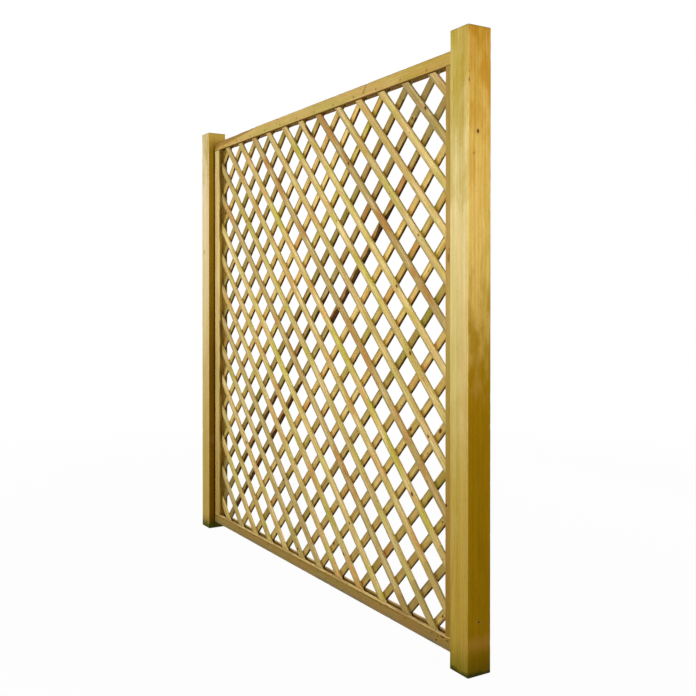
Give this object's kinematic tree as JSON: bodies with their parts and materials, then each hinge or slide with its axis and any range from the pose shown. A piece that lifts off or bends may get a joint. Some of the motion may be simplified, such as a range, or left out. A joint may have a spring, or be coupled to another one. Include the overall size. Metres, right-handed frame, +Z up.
{
  "type": "trellis panel",
  "caption": "Diamond lattice trellis panel of treated softwood slats in a grooved timber frame, fixed between two square posts.",
  "frame": {"origin": "centre of the footprint on the ground, midway between the two posts' feet", "axes": "+X along the panel's width towards the right post, -Y towards the front face where the front slats lie, +Z up"},
  "size_m": [2.0006, 0.085, 1.873],
  "materials": {
    "post_timber": "planed pressure-treated softwood, straw with a green tint",
    "frame_timber": "planed pressure-treated softwood",
    "front_slat_timber": "sawn pressure-treated softwood lath",
    "rear_slat_timber": "sawn pressure-treated softwood lath",
    "zinc_plated_steel": "dull zinc plate"
  },
  "bodies": {
    "root": {"post_left": "post_timber", "post_right": "post_timber", "top_rail": "frame_timber", "bottom_rail": "frame_timber", "stile_left": "frame_timber", "stile_right": "frame_timber", "front_slat_01": "front_slat_timber", "front_slat_02": "front_slat_timber", "front_slat_03": "front_slat_timber", "front_slat_04": "front_slat_timber", "front_slat_05": "front_slat_timber", "front_slat_06": "front_slat_timber", "front_slat_07": "front_slat_timber", "front_slat_08": "front_slat_timber", "front_slat_09": "front_slat_timber", "front_slat_10": "front_slat_timber", "front_slat_11": "front_slat_timber", "front_slat_12": "front_slat_timber", "front_slat_13": "front_slat_timber", "front_slat_14": "front_slat_timber", "front_slat_15": "front_slat_timber", "front_slat_16": "front_slat_timber", "front_slat_17": "front_slat_timber", "front_slat_18": "front_slat_timber", "front_slat_19": "front_slat_timber", "front_slat_20": "front_slat_timber", "front_slat_21": "front_slat_timber", "front_slat_22": "front_slat_timber", "front_slat_23": "front_slat_timber", "front_slat_24": "front_slat_timber", "rear_slat_01": "rear_slat_timber", "rear_slat_02": "rear_slat_timber", "rear_slat_03": "rear_slat_timber", "rear_slat_04": "rear_slat_timber", "rear_slat_05": "rear_slat_timber", "rear_slat_06": "rear_slat_timber", "rear_slat_07": "rear_slat_timber", "rear_slat_08": "rear_slat_timber", "rear_slat_09": "rear_slat_timber", "rear_slat_10": "rear_slat_timber", "rear_slat_11": "rear_slat_timber", "rear_slat_12": "rear_slat_timber", "rear_slat_13": "rear_slat_timber", "rear_slat_14": "rear_slat_timber", "rear_slat_15": "rear_slat_timber", "rear_slat_16": "rear_slat_timber", "rear_slat_17": "rear_slat_timber", "rear_slat_18": "rear_slat_timber", "rear_slat_19": "rear_slat_timber", "rear_slat_20": "rear_slat_timber", "rear_slat_21": "rear_slat_timber", "rear_slat_22": "rear_slat_timber", "rear_slat_23": "rear_slat_timber", "rear_slat_24": "rear_slat_timber", "post_screw_left_low": "zinc_plated_steel", "post_screw_left_middle": "zinc_plated_steel", "post_screw_left_high": "zinc_plated_steel", "post_screw_right_low": "zinc_plated_steel", "post_screw_right_middle": "zinc_plated_steel", "post_screw_right_high": "zinc_plated_steel"}
  },
  "joints": []
}
